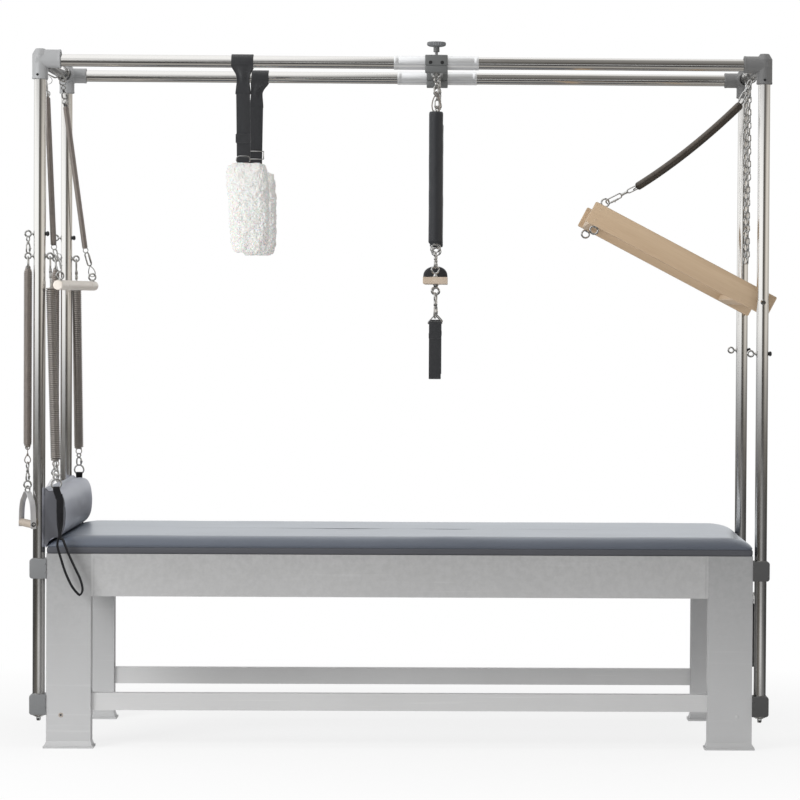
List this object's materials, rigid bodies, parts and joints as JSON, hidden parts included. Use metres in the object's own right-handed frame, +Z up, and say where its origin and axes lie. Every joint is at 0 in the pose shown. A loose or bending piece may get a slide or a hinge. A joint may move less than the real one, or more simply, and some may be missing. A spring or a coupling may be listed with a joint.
{
  "type": "pilates trapeze table",
  "caption": "Long padded pilates table on aluminium legs, in a steel-tube canopy with a sliding trapeze, sprung bars, loops and straps.",
  "frame": {"origin": "on the floor, at the centre of the bench between its four legs", "axes": "+X along the table towards the push-through end, +Y from the near side to the rear, +Z up"},
  "size_m": [2.3676, 0.8046, 2.2],
  "materials": {
    "bench_aluminium": "satin",
    "tube_steel": "polished",
    "cast_grey": "satin",
    "sleeve_aluminium": "anodised",
    "knob_plastic": "matte",
    "spring_steel": "dark",
    "chrome_wire": "polished",
    "mat_vinyl": "matte grey synthetic leather",
    "pad_black": "matte black synthetic leather",
    "webbing_black": "woven",
    "fleece_white": "fleece",
    "wood_beech": "clear lacquer",
    "wood_pale": "clear lacquer"
  },
  "bodies": {
    "frame": {"leg_near_left": "bench_aluminium", "leg_near_right": "bench_aluminium", "leg_rear_left": "bench_aluminium", "leg_rear_right": "bench_aluminium", "side_rail_near": "bench_aluminium", "side_rail_rear": "bench_aluminium", "end_rail_left": "bench_aluminium", "end_rail_right": "bench_aluminium", "stretcher_near": "bench_aluminium", "stretcher_rear": "bench_aluminium", "mat": "mat_vinyl", "end_bolster": "mat_vinyl", "post_near_left": "tube_steel", "post_near_right": "tube_steel", "post_rear_left": "tube_steel", "post_rear_right": "tube_steel", "post_clamp_near_left": "cast_grey", "post_clamp_near_right": "cast_grey", "post_clamp_rear_left": "cast_grey", "post_clamp_rear_right": "cast_grey", "corner_casting_near_left": "cast_grey", "corner_casting_near_right": "cast_grey", "corner_casting_rear_left": "cast_grey", "corner_casting_rear_right": "cast_grey", "top_tube_near": "tube_steel", "top_tube_rear": "tube_steel", "end_tube_left": "tube_steel", "end_tube_right": "tube_steel", "push_through_spring": "spring_steel"},
    "slider": {"slider_sleeve_near": "sleeve_aluminium", "slider_sleeve_rear": "sleeve_aluminium", "slider_block_near": "cast_grey", "slider_block_rear": "cast_grey", "slider_cross_tube": "tube_steel"},
    "knob_near": {"clamp_knob_near": "knob_plastic"},
    "knob_rear": {"clamp_knob_rear": "knob_plastic"},
    "trapeze": {"trapeze_sling_near": "pad_black", "trapeze_sling_rear": "pad_black", "trapeze_board": "wood_beech", "trapeze_board_pad": "pad_black"},
    "hand_loop_near": {"hand_loop_near": "webbing_black"},
    "hand_loop_rear": {"hand_loop_rear": "webbing_black"},
    "fleece_loop_near": {"fleece_strap_near": "webbing_black", "fleece_near": "fleece_white"},
    "fleece_loop_rear": {"fleece_strap_rear": "webbing_black", "fleece_rear": "fleece_white"},
    "roll_down": {"roll_down_spring_near": "spring_steel", "roll_down_spring_rear": "spring_steel", "roll_down_bar": "wood_pale"},
    "arm_spring_near": {"arm_spring_near": "spring_steel"},
    "arm_spring_rear": {"arm_spring_rear": "spring_steel"},
    "stirrup_near": {"stirrup_handle_near": "bench_aluminium"},
    "stirrup_rear": {"stirrup_handle_rear": "bench_aluminium"},
    "leg_spring_near": {"leg_spring_near": "spring_steel"},
    "leg_spring_rear": {"leg_spring_rear": "spring_steel"},
    "foot_loop_near": {"foot_loop_near": "webbing_black"},
    "foot_loop_rear": {"foot_loop_rear": "webbing_black"},
    "push_through": {"push_through_frame": "wood_beech"},
    "chain": {"safety_chain": "chrome_wire"},
    "strap": {"end_strap": "webbing_black"}
  },
  "joints": [
    {"name": "slider_slide", "type": "slide", "parent": "frame", "child": "slider", "axis": [1, 0, 0], "range_m": [-0.4, 0.38]},
    {"name": "knob_near_turn", "type": "hinge", "parent": "slider", "child": "knob_near", "pos_m": [0.103, -0.32, 2.19], "axis": [0, 0, 1], "continuous": true},
    {"name": "knob_rear_turn", "type": "hinge", "parent": "slider", "child": "knob_rear", "pos_m": [0.103, 0.32, 2.19], "axis": [0, 0, 1], "continuous": true},
    {"name": "trapeze_swing", "type": "hinge", "parent": "slider", "child": "trapeze", "pos_m": [0.103, 0, 2.093], "axis": [0, 1, 0], "range_deg": [-35, 35]},
    {"name": "hand_loop_near_swing", "type": "hinge", "parent": "trapeze", "child": "hand_loop_near", "pos_m": [0.103, -0.32, 1.416], "axis": [0, 1, 0], "range_deg": [-40, 40]},
    {"name": "hand_loop_rear_swing", "type": "hinge", "parent": "trapeze", "child": "hand_loop_rear", "pos_m": [0.103, 0.32, 1.416], "axis": [0, 1, 0], "range_deg": [-40, 40]},
    {"name": "fleece_near_swing", "type": "hinge", "parent": "frame", "child": "fleece_loop_near", "pos_m": [-0.496, -0.32, 2.134], "axis": [1, 0, 0], "range_deg": [-60, 60]},
    {"name": "fleece_rear_swing", "type": "hinge", "parent": "frame", "child": "fleece_loop_rear", "pos_m": [-0.496, 0.32, 2.134], "axis": [1, 0, 0], "range_deg": [-60, 60]},
    {"name": "roll_down_swing", "type": "hinge", "parent": "frame", "child": "roll_down", "pos_m": [-1.124, 0, 2.134], "axis": [0, -1, 0], "range_deg": [0, 40]},
    {"name": "arm_spring_near_swing", "type": "hinge", "parent": "frame", "child": "arm_spring_near", "pos_m": [-1.16, -0.32, 1.528], "axis": [0, 1, 0], "range_deg": [0, 70]},
    {"name": "arm_spring_rear_swing", "type": "hinge", "parent": "frame", "child": "arm_spring_rear", "pos_m": [-1.16, 0.32, 1.528], "axis": [0, 1, 0], "range_deg": [0, 70]},
    {"name": "stirrup_near_swing", "type": "hinge", "parent": "arm_spring_near", "child": "stirrup_near", "pos_m": [-1.16, -0.32, 0.818], "axis": [0, 1, 0], "range_deg": [0, 40]},
    {"name": "stirrup_rear_swing", "type": "hinge", "parent": "arm_spring_rear", "child": "stirrup_rear", "pos_m": [-1.16, 0.32, 0.818], "axis": [0, 1, 0], "range_deg": [0, 40]},
    {"name": "leg_spring_near_swing", "type": "hinge", "parent": "frame", "child": "leg_spring_near", "pos_m": [-1.092, -0.32, 1.519], "axis": [-1, 0, 0], "range_deg": [0, 60]},
    {"name": "leg_spring_rear_swing", "type": "hinge", "parent": "frame", "child": "leg_spring_rear", "pos_m": [-1.092, 0.32, 1.519], "axis": [1, 0, 0], "range_deg": [0, 60]},
    {"name": "foot_loop_near_swing", "type": "hinge", "parent": "leg_spring_near", "child": "foot_loop_near", "pos_m": [-1.062, -0.382, 0.8086], "axis": [0, -1, 0], "range_deg": [0, 50]},
    {"name": "foot_loop_rear_swing", "type": "hinge", "parent": "leg_spring_rear", "child": "foot_loop_rear", "pos_m": [-1.088, 0.382, 0.8086], "axis": [0, -1, 0], "range_deg": [0, 50]},
    {"name": "push_through_swing", "type": "hinge", "parent": "frame", "child": "push_through", "pos_m": [1.124, 0, 1.398], "axis": [0, 1, 0], "range_deg": [-75, 35], "stiffness_Nm_per_rad": 15, "springref_deg": 23.49, "deforming": ["push_through_spring"]},
    {"name": "chain_swing", "type": "hinge", "parent": "frame", "child": "chain", "pos_m": [1.124, 0.12, 2.134], "axis": [0, 1, 0], "range_deg": [-25, 25]},
    {"name": "end_strap_swing", "type": "hinge", "parent": "frame", "child": "strap", "pos_m": [1.103, -0.255, 0.4838], "axis": [0, -1, 0], "range_deg": [0, 45]}
  ]
}
